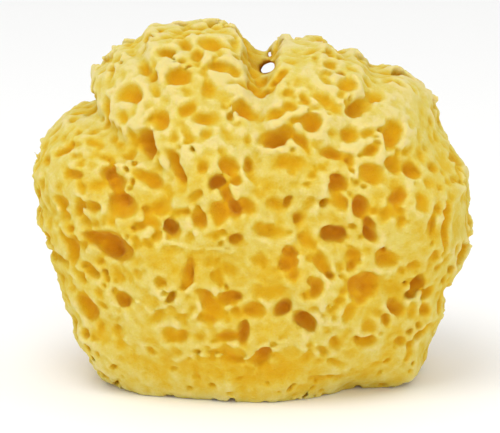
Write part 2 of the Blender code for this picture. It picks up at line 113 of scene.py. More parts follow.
# Pores of the face: across and down in pixels, half length, half width, tilt in degrees, depth class
facePores = (
    # left top lobe
    (122, 50, 10, 3, 8, 1), (110, 61, 4, 4, 0, 1), (122, 65, 6, 3, 10, 1), (142, 66, 14, 6, -60, 2),
    (154, 76, 6, 4, 10, 2), (155, 53, 5, 3, -35, 1), (167, 51, 7, 6, -30, 2), (125, 90, 18, 10, -12, 1.5),
    (135, 96, 6, 5, 0, 2), (102, 108, 13, 7, -70, 2), (73, 113, 9, 5, 0, 1), (92, 112, 8, 6, 0, 1.5),
    (120, 115, 9, 6, -80, 1.5), (160, 117, 13, 9, -65, 2), (148, 121, 5, 3, 80, 3),
    (147, 141, 14, 10, -60, 3), (133, 138, 12, 5, -65, 2), (54, 134, 8, 3, 8, 1), (76, 142, 5, 4, 0, 1),
    (88, 139, 12, 4, -40, 1), (113, 139, 5, 4, 0, 1), (60, 152, 12, 3.5, -3, 1.5),
    (105, 125, 6, 3.5, 60, 1.5), (180, 29, 10, 4, 10, 1), (213, 42, 13, 10, -25, 1.5),
    (196, 55, 8, 6, -75, 2), (178, 77, 9.5, 9, 0, 2), (220, 65, 11, 6.5, 8, 2), (236, 69, 7, 6, -45, 2),
    (253, 70, 10, 5.5, -70, 1.5), (208, 87, 9, 8, 90, 2), (222, 91, 12, 8, -20, 1.5),
    (227, 105, 5, 2.5, -75, 3), (231, 115, 4.5, 4.5, 0, 3), (248, 109, 14, 7, -35, 2),
    (190, 107, 10, 5, 60, 2), (207, 117, 13, 7, 15, 1.5), (209, 133, 6, 4.5, 50, 2),
    (190, 137, 10, 4, -70, 1.5), (203, 144, 6, 3, -80, 2), (237, 135, 5, 3, 20, 1),
    # right top lobe
    (286, 57, 11, 6, -20, 1), (263, 80, 6, 5, 0, 2), (279, 74, 9, 5, 60, 1.5), (272, 88, 4, 3, 0, 1.5),
    (275, 111, 8.5, 6, -5, 2), (287, 89, 6, 4, 20, 1), (306, 96, 7.5, 6, -60, 2),
    (322, 93, 12, 7, -60, 1.5), (309, 121, 9.5, 8.5, 40, 2), (270, 139, 12, 9, 0, 3),
    (282, 133, 10, 6, 20, 2), (300, 141, 9, 4, -35, 2), (308, 151, 5.5, 3, -40, 3),
    (348, 83, 10, 8, -65, 1.5), (360, 108, 13, 6, 30, 2), (357, 112, 7, 4, 0, 2.5),
    (376, 96, 9, 6, 50, 1), (330, 63, 6, 5, 0, 1), (345, 60, 7, 4, 0, 1), (351, 132, 9, 8, 0, 2.5),
    (334, 133, 6, 4, 0, 1.5), (370, 131, 9, 4, 15, 2), (380, 128, 4, 2.5, 35, 3), (393, 130, 15, 9, 75, 2),
    (391, 138, 6, 5, 0, 2.5), (408, 111, 5, 3.5, -10, 1.5), (363, 122, 3, 3, 0, 1),
    (425, 115, 9, 6, 70, 1), (422, 134, 8, 5, 30, 1), (426, 147, 6, 4, 30, 1.5), (438, 138, 6, 5, 0, 1),
    (453, 158, 5, 4, 80, 1.5), (433, 166, 8, 6.5, 0, 2), (335, 153, 15, 5, -5, 2), (351, 157, 7, 4, 80, 2.5),
    # left flank
    (107, 172, 8, 8, 0, 3), (118, 183, 8.5, 7, -35, 3), (106, 160, 11, 4, -35, 1.5), (155, 181, 9, 6, -20, 2),
    (145, 174, 12, 5, -15, 1.5), (122, 206, 14, 9, -5, 3), (92, 240, 8, 7, 0, 3),
    (112, 247, 19, 14, -20, 3), (62, 201, 10, 6, -15, 2), (93, 205, 8.5, 5, -5, 2), (78, 190, 5, 4, 0, 2),
    (57, 187, 6, 4, 0, 1), (68, 177, 11, 5, -12, 1), (93, 184, 12, 5, -5, 1), (39, 165, 6, 4, 85, 1),
    (72, 230, 4, 3, 0, 1.5), (72, 251, 11, 5, -75, 2), (90, 272, 9, 5, -25, 1), (171, 227, 10, 6, -70, 3),
    (160, 205, 8, 6, 60, 1), (176, 168, 19, 4.5, -65, 2.5), (66, 214, 7, 5, 0, 1),
    (148, 246, 6, 3, -45, 1.5), (170, 252, 9, 5, 0, 1),
    # middle
    (195, 154, 4, 2.5, 0, 3), (203, 168, 7.5, 5, 80, 2), (230, 165, 9.5, 9, 0, 2), (236, 180, 7, 4, 75, 2.5),
    (249, 165, 9, 5.5, 80, 3), (252, 178, 6, 3, -70, 2), (220, 184, 9.5, 5.5, 15, 3),
    (227, 196, 8, 3.5, -75, 2.5), (233, 211, 9, 6, -60, 3), (246, 207, 9, 6, -35, 2),
    (287, 199, 8, 4, 75, 3), (275, 203, 10, 6, -10, 2), (321, 205, 5.5, 4, 45, 3),
    (298, 219, 8, 6, -85, 2.5), (260, 229, 6, 4, 85, 2.5), (271, 233, 17, 8, -5, 2),
    (259, 245, 5, 3, -30, 2.5), (237, 242, 8, 7.5, 0, 3), (292, 250, 9.5, 5.5, -5, 3),
    (281, 264, 9, 8, -20, 3), (292, 262, 7, 4, 0, 3), (291, 275, 8, 4, 70, 2.5),
    (259, 260, 10, 6, -70, 2.5), (184, 210, 6, 3.5, 0, 2.5), (198, 219, 12, 6, -85, 2),
    (218, 213, 11, 8, -80, 1.5), (194, 197, 11, 4, 40, 1.5), (221, 252, 4, 2.5, 45, 1.5),
    (188, 273, 15, 4, 88, 2.5), (187, 287, 3, 3, 0, 3), (280, 163, 24, 8, 0, 1),
    (321, 222, 7, 6, 0, 1.5), (311, 241, 10, 5, -30, 2), (235, 271, 8, 6, 0, 1), (313, 258, 4, 4, 0, 2),
    # right flank
    (334, 185, 11, 9, 65, 2.5), (335, 182, 4, 3.5, 0, 3.5), (322, 167, 5, 3, 0, 2),
    (336, 236, 13, 7, 0, 3), (326, 234, 5, 4, 0, 3.5), (358, 208, 11, 8, -75, 2.5),
    (342, 211, 3.5, 3, 0, 2), (337, 205, 8, 6, 0, 1.5), (370, 224, 7, 5, -45, 2.5),
    (372, 234, 10, 5, -35, 3), (395, 198, 8, 6, 50, 3), (396, 188, 7, 5, 0, 1.5), (398, 211, 4, 3, 0, 3),
    (400, 221, 6, 4, -80, 2.5), (387, 213, 8, 5, 10, 1.5), (387, 259, 13, 11, -10, 2),
    (388, 249, 6, 5, 0, 3), (410, 168, 10, 8, -60, 2.5), (395, 163, 9, 8, 0, 2), (374, 172, 13, 10, 0, 1),
    (386, 182, 4, 2, 30, 2), (449, 184, 5, 5, 0, 1.5), (422, 205, 12, 8, -55, 1.5),
    (429, 229, 12, 4, -82, 2), (437, 214, 6, 4, -10, 2), (445, 230, 18, 5, 88, 1.5), (459, 211, 4, 4, 0, 1),
    (355, 258, 8, 7, 0, 2), (354, 268, 5, 3, 60, 3), (360, 264, 5, 2, -70, 3), (325, 261, 10, 6, -75, 2),
    (331, 273, 4.5, 4, 0, 3), (445, 262, 8, 4, 20, 1.5), (413, 265, 6, 4, 0, 1.5),
    # lower left
    (87, 309, 14, 11, -45, 2), (123, 299, 8, 7, 10, 3), (116, 333, 7, 5, -85, 2.5),
    (150, 350, 4.5, 3.5, -70, 2.5), (84, 333, 7, 4, 0, 1.5), (160, 283, 8.5, 5.5, 0, 2.5),
    (173, 298, 9, 4, 60, 3), (133, 319, 7, 4, -30, 1.5), (153, 320, 13, 7, 40, 1.5),
    (171, 337, 9, 7, -50, 2), (184, 338, 7, 5, 40, 2.5), (127, 278, 4, 3, 0, 1.5), (75, 290, 6, 5, 0, 1),
    # lower middle
    (206, 294, 7, 6, -60, 2), (211, 304, 16, 7, -60, 2), (208, 317, 8, 7, 0, 2.5),
    (193, 312, 7, 3, 60, 2), (230, 298, 11, 6.5, 5, 2), (239, 297, 5, 4.5, 0, 3), (256, 310, 9, 8, 0, 2),
    (283, 308, 10, 7, 45, 3), (306, 319, 12, 8, -30, 3), (226, 337, 9, 5, 12, 2.5), (243, 334, 12, 5, 68, 3),
    (203, 338, 6, 5, 0, 2), (262, 353, 10, 5, 25, 3), (255, 360, 8, 6, 0, 2),
    (232, 361, 5, 2, 0, 2), (316, 287, 9, 5, 70, 2.5), (256, 289, 7, 4, -75, 1.5), (291, 352, 9, 5, 0, 1.5),
    (308, 343, 5, 3, -50, 2), (268, 290, 16, 7, 0, 1),
    # lower right
    (367, 288, 16, 12, 10, 2.5), (359, 298, 7, 6, 90, 3), (363, 285, 3.5, 3.5, 0, 3),
    (421, 281, 9, 8, -10, 3), (406, 285, 3, 3, 0, 3), (413, 295, 6, 4, -10, 3), (400, 307, 12, 7, -30, 2.5),
    (386, 319, 6, 4.5, -80, 2.5), (342, 340, 9, 5, -55, 2.5), (327, 346, 8, 4, -35, 2.5),
    (337, 361, 11, 4.5, -50, 2), (368, 343, 8, 8, 0, 2.5), (359, 342, 7, 3, -70, 3), (368, 328, 8, 7, 0, 1.5),
    (350, 313, 8, 5, 85, 1.5), (420, 334, 6, 5, 0, 2), (428, 310, 6, 6, 0, 1.5), (439, 305, 8, 4, 80, 1.5),
    (409, 353, 4, 3.5, 0, 1.5), (379, 366, 7, 3.5, 10, 1.5), (318, 381, 9, 4, 0, 1.5), (340, 378, 5, 4, 0, 1),
    (352, 357, 5, 3, -20, 1.5), (350, 329, 2.5, 2.5, 0, 2.5), (399, 341, 7, 5, -40, 1.5),
    (409, 327, 4, 3, 40, 1.5), (331, 312, 7, 6, 0, 1),
)

# Holes that show the backdrop, and nicks in the lower edge: across, down, half length, half width, tilt
throughHoles = (
    (268, 68, 10, 5.5, 28), (270, 55, 5, 2.5, 75), (52, 251, 2.5, 2, 0), (447, 293, 5, 3.5, 20),
    (114, 366, 3, 2.5, 0), (118, 381, 2.5, 2.5, 0),
)
edgeNicks = (
    (94, 372, 2.5, 2, 0), (109, 386, 3.5, 3, 10), (150, 397, 2, 1.5, 0), (193, 400, 2, 1.5, 0),
    (232, 400, 3.5, 2, 0), (265, 403, 3.5, 2, 0), (300, 401, 2, 1.5, 0), (325, 396, 3, 2, 0),
    (347, 394, 2.5, 2, 0), (358, 388, 4, 3.5, 0), (383, 389, 2.5, 2, 0), (397, 387, 2.5, 2, 0),
    (405, 384, 2.5, 2.5, 0), (416, 379, 2.5, 2.5, 0), (426, 368, 2, 2, 0),
)

# Thin ridges of flesh on the face, each a line of pixels: the ledge over the fuzzy band comes first
ridges = {
    "lines": (
        ((168, 361), (197, 355), (222, 358), (240, 360), (262, 349), (288, 338)),
        ((72, 152), (110, 165), (143, 172)), ((172, 246), (212, 250), (235, 256), (262, 252)),
        ((132, 300), (150, 312), (178, 306), (196, 284)), ((300, 180), (322, 178), (345, 200), (352, 226)),
        ((296, 296), (322, 302), (345, 324)),
    ),
    "height": 0.0010,
    "halfWidth": 0.0008,
    "reach": 0.0034,  # how far from its line a ridge is worked out
}

# The fuzzy band low on the face, where the fibres run upright. Sunk under the skin, it takes more of the
# painted pit shade and looks amber
fibreBand = {
    "middle": (226, 367),  # pixels
    "halfSize": (74, 19),
    "spacing": (0.0014, 0.0040, 0.0080),  # of the fibres, along X, Y and Z
    "height": 0.00022,
    "sink": 0.0011,  # how far the band lies under the flesh round it, which also deepens its painted shade
}

flesh = {
    "step": 0.00068,  # spacing of the field's samples
    "quickStep": 0.0009,
    "margin": 0.004,  # of the samples round the body
    "depthMargin": 0.003,  # more of it for the lumps of the front and back
    "top": 0.1265,  # how high the body comes, at most
    "triangles": 192000,
    "seed": 21,
    # slow bends that make pores crooked: size of the bend, spacing of its lattice
    "bends": ((0.0006, 0.0075), (0.00030, 0.0028)),
    # roughness of the flesh: height, spacing. The swell and the slow waves come before the pores
    "swell": (0.0006, 0.0070),
    "slowRoughness": ((0.00026, 0.0038), (0.00010, 0.0024)),
    "fineRoughness": ((0.00008, 0.0020), (0.00013, 0.0010)),
    "softenings": 2,  # times that each sample is averaged with its neighbours before the fine roughness
    "faceGrowth": 1.12,  # the rims' softness closes a pore by about this much
    "lip": 0.0003,  # how far the flesh stands up round each pore
    "lipReach": 0.0008,  # how far out its top lies, and half its width
    "lipDepth": 0.004,  # how far along the pore's axis it fades
    "bowlDepth": 0.85,  # a pore's bowl is no deeper than this share of its mean half width
    "rimSoftness": 0.0008,  # how round a pore's rim is
    "rimShare": 0.5,  # and at most this share of its mean half width
    "throatFrom": 2.0,  # the depth class from which a pore has a throat
    "throatShare": (0.68, 0.86),  # how wide it is for the middle and the deep classes
    "throatWander": 0.24,  # how far it leans off the pore's axis
    "throatPlace": 0.45,  # where its middle lies, as a share of the sink
    "throatDepth": 0.62,  # its half length, as a share of the sink
    "throatSoftness": 0.0008,
    "openReach": 0.0022,  # how far outward a pore stays open, past the mean skin
    "flare": 0.16,  # how much it widens on the way, per sink
    "cleftPlace": (0.0050, -0.004, 0.1220),
    "cleftHalfSize": (0.0058, 0.0290, 0.0148),
    "cleftLean": math.radians(14.0),
    "cleftSoftness": 0.002,
    "sightReach": 0.055,  # half the length of a hole that shows the backdrop
    "sightSoftness": 0.0006,
    # spiral pores of the sides, top and back, as in the solid; none faces the viewer more than faceLimit
    "spiralCount": 180,
    "spiralScatter": 0.045,
    "spiralHalfWidth": (0.0030, 0.0050),
    "spiralStretch": (1.0, 1.6),
    "faceLimit": 0.22,
    "rootChannels": (
        (-0.030, 0.004, 0.0050, 0.0038), (-0.017, -0.015, 0.0042, 0.0034), (-0.014, 0.016, 0.0046, 0.0036),
        (0.012, 0.013, 0.0040, 0.0052), (0.017, -0.014, 0.0054, 0.0038), (0.033, 0.002, 0.0044, 0.0044),
    ),
    "rootChannelDepth": 0.006,
    "rootChannelSoftness": 0.001,
    "nickDepth": 0.010,
    "nickSoftness": 0.0005,
    "rimNicks": 110,  # small bites all round the edge of the cut root
    "rimNickScatter": 0.4,  # how far one lies off its place, as a share of the space between two
    "rootEdge": (0.42, 0.36, -1.05),  # where that edge lies: shares of the width, depth and belly's height
    "rimNickHalfWidth": (0.0004, 0.0012),
    "rimNickShape": (1.3, 1.0, 1.6),  # up, round and in, as shares of the half width
    "rimNickHeight": (-0.0004, 0.0016),
    "crest": 0.0007,  # the height over the mean skin that takes the palest colour of the painted pit shade
    "deepest": 0.0065,  # the depth that takes the darkest colour of the painted pit shade
    "recessPower": 0.72,
    "shelterReach": (0.0020, 0.0040),  # half sides of the cubes that tell how sheltered a place is
    # pores that fill the room between those
    "fillTries": 9000,
    "fillScatter": 0.02,  # how far a try lies off its place on the spiral
    "fillHalfWidth": (0.0009, 0.0028),
    "fillSpread": (1.6, 1.9),  # the beta curve of their half widths
    "fillStretch": (1.0, 1.9),
    "fillClasses": (1.0, 1.5, 2.0, 2.5, 3.0),
    "fillChances": (0.28, 0.24, 0.22, 0.14, 0.12),
    "fillSpacing": (0.98, 1.10),  # least distance as a share of the half widths: off the face, on it
    # where the skin faces the viewer more than this, fill pores are small and stay off the lower band
    "faceFillFacing": 0.22,
    "faceFillLimit": 0.0018,
    "faceFillClass": 1.5,
    "faceFillFloor": 0.016,
    # pinholes and dimples all over
    "pinholes": 1200,
    "pinholeHalfWidth": (0.00055, 0.0012),
    "pinholeSpread": (1.3, 2.4),  # the beta curve of their half widths
    "pinholeSink": (-0.0002, 0.0004),  # how far under the mean skin their middles lie
    "pinholeShape": (1.4, 1.0, 0.8),  # along, across and in, as shares of the half width
    "pinholeSoftness": 0.0006,
    "pinholeOpenReach": 0.0015,
}

tiltUp = np.array([0.0, math.sin(view["tilt"]), math.cos(view["tilt"])])
lookAlong = np.array([0.0, math.cos(view["tilt"]), -math.sin(view["tilt"])])
toTheRight = np.array([1.0, 0.0, 0.0])
upwards = np.array([0.0, 0.0, 1.0])
belly = np.array([0.0, 0.0, view["bellyHeight"]])
pixel = view["width"] / view["widthPixels"]
chance = np.random.default_rng(flesh["seed"])


# a pixel's place on the upright view plane through the belly: belly + across right + up
def placeAt(across, down):
    right = (across - view["bellyPixel"][0]) * pixel
    up = (view["bellyPixel"][1] - down) * pixel
    return belly + right * toTheRight + up * tiltUp


frameMiddle = placeAt(*[side / 2 for side in view["framePixels"]])
eye = frameMiddle - view["distance"] * lookAlong


# reach of the outline at a bearing: the drawn points as distances from the belly, read by angle
def outlineReach(bearing):
    points = np.array(body["outline"], float)
    across = (points[:, 0] - view["bellyPixel"][0]) * pixel
    up = (view["bellyPixel"][1] - points[:, 1]) * pixel / math.cos(view["tilt"])
    drawn = np.arctan2(up, across)
    order = np.argsort(drawn)
    around = np.linspace(-math.pi, math.pi, body["outlineBearings"])
    blur = np.radians(np.linspace(-body["outlineSmoothing"], body["outlineSmoothing"], 5))
    turned = (around[:, None] + blur + math.pi) % (2 * math.pi) - math.pi
    reach = np.interp(turned, drawn[order], np.hypot(across, up)[order], period=2 * math.pi).mean(axis=1)
    reach *= body["outlineShare"] - body["topShare"] * np.clip(np.sin(around), 0, 1)
    return np.interp(bearing, around, reach)


# radius of the skin along a unit direction d: the outline's reach R at the bearing of (x, z) is rounded off
# in depth by ((flat/R)^n + (|y|/halfDepth)^n)^(-1/n), and waves and lumps are added, fading at the outline
def skinRadius(across, deep, up):
    flat = np.maximum(np.hypot(across, up), 1e-6)
    level = (flat / outlineReach(np.arctan2(up, across))) ** body["roundness"]
    level += (np.abs(deep) / (body["depth"] / 2)) ** body["roundness"]
    radius = level ** (-1 / body["roundness"])
    swell = np.zeros_like(radius)
    for height, waves, start in body["swells"]:
        phase = 2 * math.pi * (waves[0] * across + waves[1] * deep + waves[2] * up)
        swell += height * np.sin(phase * radius + start)
    front = deep < 0
    for lumpAcross, lumpDown, lumpReach, height in body["lumps"]:
        middle = placeAt(lumpAcross, lumpDown) - belly
        apart = (across * radius - middle[0]) ** 2 + (up * radius - middle[2]) ** 2
        swell += height * np.exp(-apart / (lumpReach * pixel) ** 2) * front
    return radius + swell * np.abs(deep)


# how far points lie outside the skin, along their lines from the belly
def skinDepth(points):
    away = points - belly
    reach = np.maximum(np.linalg.norm(away, axis=1), 1e-6)
    return reach - skinRadius(*(away / reach[:, None]).T)


# outward directions of the skin: the slope of skinDepth across a small step each way
def skinNormals(points):
    steps = body["slopeStep"] * np.eye(3)
    slope = np.stack([skinDepth(points + step) - skinDepth(points - step) for step in steps], axis=1)
    return slope / np.linalg.norm(slope, axis=1)[:, None]


# where the lines of sight through pixels meet the skin, by halving between inside and outside
def skinSeenAt(across, down):
    right = (across - view["bellyPixel"][0]) * pixel
    up = (view["bellyPixel"][1] - down) * pixel
    inside = belly + right[:, None] * toTheRight + up[:, None] * tiltUp
    sight = (inside - eye) / np.linalg.norm(inside - eye, axis=1)[:, None]
    outside = inside - body["depth"] * sight
    for halving in range(body["sightHalvings"]):
        middle = (inside + outside) / 2
        out = (skinDepth(middle) > 0)[:, None]
        outside = np.where(out, middle, outside)
        inside = np.where(out, inside, middle)
    return (inside + outside) / 2, sight


# right-handed axes with Z along inward and X as near to along as it can be
def poreAxes(inward, along):
    along = along - np.dot(along, inward) * inward
    along = along / np.linalg.norm(along)
    return np.column_stack([along, np.cross(inward, along), inward])


def poreSink(meanHalfWidth, depthClass):
    share = np.interp(depthClass, poreDepth["classes"], poreDepth["share"])
    return share * meanHalfWidth + np.interp(depthClass, poreDepth["classes"], poreDepth["extra"])


# a pore is (place, axes, half length, half width, depth class)
def makeFacePores():
    table = np.array(facePores, float)
    places, sights = skinSeenAt(table[:, 0], table[:, 1])
    normals = skinNormals(places)
    pores = []
    for row, place, sight, normal in zip(table, places, sights, normals):
        inward = sight - normal
        turn = math.radians(row[4])
        along = math.cos(turn) * toTheRight + math.sin(turn) * tiltUp
        axes = poreAxes(inward / np.linalg.norm(inward), along)
        halfLength, halfWidth = row[2:4] * pixel * flesh["faceGrowth"]
        pores.append((place, axes, halfLength, halfWidth, row[5]))
    return pores


# directions on a golden spiral: heights in even steps, each a golden angle round from the last
def goldenSpiral(count):
    index = np.arange(count)
    height = 1 - 2 * (index + 0.5) / count
    turn = math.pi * (3 - math.sqrt(5)) * index
    ring = np.sqrt(1 - height**2)
    return np.column_stack([ring * np.cos(turn), ring * np.sin(turn), height])


def onSkin(directions):
    directions = directions / np.linalg.norm(directions, axis=1)[:, None]
    return belly + directions * skinRadius(*directions.T)[:, None]


# the solid's pores off the face: the same spiral and the same draws
def makeSpiralPores():
    draws = np.random.default_rng(flesh["seed"])
    pores = []
    for direction in goldenSpiral(flesh["spiralCount"]):
        direction = direction + draws.normal(0, flesh["spiralScatter"], 3)
        halfWidth = draws.uniform(*flesh["spiralHalfWidth"])
        halfLength = halfWidth * draws.uniform(*flesh["spiralStretch"])
        along = draws.normal(0, 1, 3)
        depthClass = int(draws.integers(1, 4))
        place = onSkin(direction[None])
        normal = skinNormals(place)[0]
        if place[0, 2] < halfLength or -normal @ lookAlong > flesh["faceLimit"]:
            continue
        pores.append((place[0], poreAxes(-normal, along), halfLength, halfWidth, depthClass + 0.3))
    return pores


# smaller pores in the room that the others leave: a dense spiral of tries, kept where nothing is near
def makeFillPores(taken):
    directions = goldenSpiral(flesh["fillTries"])
    places = onSkin(directions + chance.normal(0, flesh["fillScatter"], directions.shape))
    normals = skinNormals(places)
    shares = chance.beta(*flesh["fillSpread"], len(places))
    halfWidths = flesh["fillHalfWidth"][0] + np.ptp(flesh["fillHalfWidth"]) * shares
    stretches = chance.uniform(*flesh["fillStretch"], len(places))
    alongs = chance.normal(0, 1, places.shape)
    classes = chance.choice(flesh["fillClasses"], len(places), p=flesh["fillChances"])
    order = np.argsort(-halfWidths)
    centres = [pore[0] for pore in taken]
    reaches = [(pore[2] + pore[3]) / 2 for pore in taken]
    pores = []
    for index in order:
        place, halfWidth = places[index], halfWidths[index]
        if place[2] < halfWidth:
            continue
        apart = np.linalg.norm(np.array(centres) - place, axis=1)
        onFace = -normals[index] @ lookAlong > flesh["faceFillFacing"]
        if np.any(apart < (np.array(reaches) + halfWidth) * flesh["fillSpacing"][int(onFace)]):
            continue
        halfLength = halfWidth * stretches[index]
        if onFace and (halfWidth > flesh["faceFillLimit"] or place[2] < flesh["faceFillFloor"]):
            continue
        depthClass = min(classes[index], flesh["faceFillClass"]) if onFace else classes[index]
        pores.append((place, poreAxes(-normals[index], alongs[index]), halfLength, halfWidth, depthClass))
        centres.append(place)
        reaches.append((halfLength + halfWidth) / 2)
    return pores


# smooth noise on the samples: random heights on a cubic lattice, joined by cubic B-splines along each axis
def latticeNoise(grid, spacing):
    blends = []
    for line, space in zip(grid["lines"], np.broadcast_to(spacing, 3)):
        place = (line - line[0]) / space
        knots = np.arange(int(place[-1]) + 4) - 1
        apart = np.abs(place[:, None] - knots)
        near = 2 / 3 - apart**2 + apart**3 / 2
        far = np.clip(2 - apart, 0, None) ** 3 / 6
        blends.append(np.where(apart < 1, near, far).astype(np.float32))
    heights = chance.normal(0, 1, [blend.shape[1] for blend in blends]).astype(np.float32)
    heights = np.tensordot(blends[2], heights, (1, 2))
    heights = np.tensordot(blends[1], heights, (1, 2))
    heights = np.tensordot(blends[0], heights, (1, 2))
    return heights / 0.33  # the splines' average takes the spread down to about this


# the samples: even steps along each axis over the box of the body, and the places bent by slow noise
def makeGrid():
    step = flesh["step"]
    half = view["width"] / 2 + flesh["margin"]
    halfDepth = body["depth"] / 2 + flesh["margin"] + flesh["depthMargin"]
    across = np.arange(-half, half, step)
    deep = np.arange(-halfDepth, halfDepth, step)
    up = np.arange(-2.5 * step, flesh["top"] + flesh["margin"], step)  # a little under the root, too
    grid = {"step": step, "lines": (across, deep, up), "corner": np.array([across[0], deep[0], up[0]])}
    mesh = np.meshgrid(across, deep, up, indexing="ij")
    grid["places"] = np.stack(mesh, axis=-1).astype(np.float32)
    return grid


def bendPlaces(grid):
    bent = grid["places"].copy()
    for height, spacing in flesh["bends"]:
        for axis in range(3):
            bent[..., axis] += height * latticeNoise(grid, spacing)
    return bent


# rounded larger-of-two: max(a, b) + h h k / 4, with h = max(k - |a - b|, 0) / k
def roundedMax(first, second, softness):
    overlap = np.maximum(softness - np.abs(first - second), 0) / softness
    return np.maximum(first, second) + overlap**2 * softness / 4


# the block of samples between two corners in space
def blockBetween(grid, lowest, highest):
    low = np.maximum(np.floor((lowest - grid["corner"]) / grid["step"]).astype(int), 0)
    high = np.ceil((highest - grid["corner"]) / grid["step"]).astype(int) + 1
    return tuple(slice(a, b) for a, b in zip(low, high))


# takes an ellipsoid out of the field, in the block of samples round it only: its distance is about
# k (k - 1) / |slope of k|, with k the scaled distance from its middle. An open one goes on outward from its
# middle for openReach, flaring, before it closes
def carve(field, places, grid, place, axes, halfSize, softness, openReach=0.0):
    reach = max(halfSize) + 2 * softness + flesh["margin"] + openReach
    block = blockBetween(grid, place - reach, place + reach)
    scaled = (places[block] - place.astype(np.float32)) @ (axes / halfSize).astype(np.float32)
    if openReach:
        outward = np.clip(-scaled[..., 2], 0, openReach / halfSize[2])
        scaled[..., 2] += outward
        scaled[..., :2] /= (1 + flesh["flare"] * outward)[..., None]
    level = np.sqrt((scaled**2).sum(axis=-1)) + 1e-6
    slope = np.sqrt(((scaled / np.array(halfSize, np.float32)) ** 2).sum(axis=-1)) + 1e-6
    distance = level * (level - 1) / slope
    field[block] = roundedMax(field[block], -distance, softness)


# raises a lip of flesh round a pore: a bell over the distance from its rim, fading along its axis
def raiseLip(field, places, grid, pore):
    place, axes, halfLength, halfWidth, depthClass = pore
    reach = halfLength + 5 * flesh["lipReach"]
    block = blockBetween(grid, place - reach, place + reach)
    local = (places[block] - place.astype(np.float32)) @ axes.astype(np.float32)
    level = np.sqrt((local[..., 0] / halfLength) ** 2 + (local[..., 1] / halfWidth) ** 2)
    out = (level - 1) * (halfLength + halfWidth) / 2 / flesh["lipReach"] - 1
    bell = np.exp(-out**2 - (local[..., 2] / flesh["lipDepth"]) ** 2)
    field[block] -= flesh["lip"] * bell * min(1.0, 0.4 + 0.3 * depthClass)  # lower round a shallow pore


# a pore is one bowl, and a deep one goes on as a narrower throat that wanders off
def carvePore(field, places, grid, pore, draws):
    place, axes, halfLength, halfWidth, depthClass = pore
    mean = (halfLength + halfWidth) / 2
    sink = poreSink(mean, depthClass)
    softness = min(flesh["rimSoftness"], mean * flesh["rimShare"])
    bowl = (halfLength, halfWidth, min(sink, mean * flesh["bowlDepth"]))
    carve(field, places, grid, place, axes, bowl, softness, flesh["openReach"])
    if depthClass >= flesh["throatFrom"]:
        aside = flesh["throatWander"]
        wander = axes @ np.array([draws.normal(0, aside), draws.normal(0, aside), 1.0])
        throat = place + wander * sink * flesh["throatPlace"]
        throatAxes = poreAxes(wander / np.linalg.norm(wander), axes[:, 0])
        share = np.interp(depthClass, (flesh["throatFrom"], 3.0), flesh["throatShare"])
        size = (halfLength * share, halfWidth * share, sink * flesh["throatDepth"])
        carve(field, places, grid, throat, throatAxes, size, flesh["throatSoftness"])


# holes run along the line of sight, so that they show the backdrop
def carveSight(field, places, grid):
    for across, down, halfLength, halfWidth, tilt in throughHoles:
        place = placeAt(across, down)
        sight = (place - eye) / np.linalg.norm(place - eye)
        turn = math.radians(tilt)
        axes = poreAxes(sight, math.cos(turn) * toTheRight + math.sin(turn) * tiltUp)
        size = (halfLength * pixel, halfWidth * pixel, flesh["sightReach"])
        carve(field, places, grid, place, axes, size, flesh["sightSoftness"])


# nicks run along the line of sight too, but only a little way in from the skin
def carveNicks(field, places, grid):
    table = np.array(edgeNicks, float)
    spots, sights = skinSeenAt(table[:, 0], table[:, 1])
    for row, spot, sight in zip(table, spots, sights):
        turn = math.radians(row[4])
        axes = poreAxes(sight, math.cos(turn) * toTheRight + math.sin(turn) * tiltUp)
        size = (row[2] * pixel, row[3] * pixel, flesh["nickDepth"])
        carve(field, places, grid, spot, axes, size, flesh["nickSoftness"])


# bites at even bearings round the cut, each a little off its place
def carveRim(field, places, grid):
    count = flesh["rimNicks"]
    scatter = flesh["rimNickScatter"]
    turn = 2 * math.pi * (np.arange(count) + chance.uniform(-scatter, scatter, count)) / count
    ring = np.column_stack([np.cos(turn), np.sin(turn), np.ones(count)])
    edge = np.array([view["width"], body["depth"], view["bellyHeight"]]) * flesh["rootEdge"]
    spots = onSkin(ring * edge)
    spots[:, 2] = chance.uniform(*flesh["rimNickHeight"], count)
    sizes = chance.uniform(*flesh["rimNickHalfWidth"], count)
    for spot, size in zip(spots, sizes):
        away = np.array([spot[0], spot[1], 0.0]) / math.hypot(spot[0], spot[1])
        halfSize = tuple(size * share for share in flesh["rimNickShape"])
        carve(field, places, grid, spot, poreAxes(-away, upwards), halfSize, flesh["nickSoftness"])


# each sample averaged with its neighbours: a quarter, a half and a quarter, along each axis
def softened(field):
    for axis in range(3):
        before = field.take([0, *range(field.shape[axis] - 1)], axis)
        after = field.take([*range(1, field.shape[axis]), field.shape[axis] - 1], axis)
        field = before / 4 + field / 2 + after / 4
    return field


# the fibre band: an oval patch of upright streaks, sunk a little, on the face only
def fibreRelief(grid):
    places = grid["places"]
    middle = skinSeenAt(*np.array(fibreBand["middle"], float)[:, None])[0][0]
    apart = (places[..., 0] - middle[0]) ** 2 / (fibreBand["halfSize"][0] * pixel) ** 2
    apart += (places[..., 2] - middle[2]) ** 2 / (fibreBand["halfSize"][1] * pixel) ** 2
    patch = np.exp(-apart * apart) * (places[..., 1] < 0)
    return patch * (fibreBand["sink"] + fibreBand["height"] * latticeNoise(grid, fibreBand["spacing"]))


# raises thin ridges: a bell over the distance from the nearest point of each piece of a line
def raiseRidges(field, places, grid):
    reach = ridges["reach"]
    for line in ridges["lines"]:
        spots = skinSeenAt(*np.array(line, float).T)[0]
        raised = np.zeros_like(field)
        for start, end in zip(spots[:-1], spots[1:]):
            block = blockBetween(grid, np.minimum(start, end) - reach, np.maximum(start, end) + reach)
            local = places[block] - start.astype(np.float32)
            piece = (end - start).astype(np.float32)
            along = np.clip(local @ piece / (piece @ piece), 0, 1)
            apart = ((local - along[..., None] * piece) ** 2).sum(axis=-1)
            raised[block] = np.maximum(raised[block], np.exp(-apart / ridges["halfWidth"] ** 2))
        field -= ridges["height"] * raised


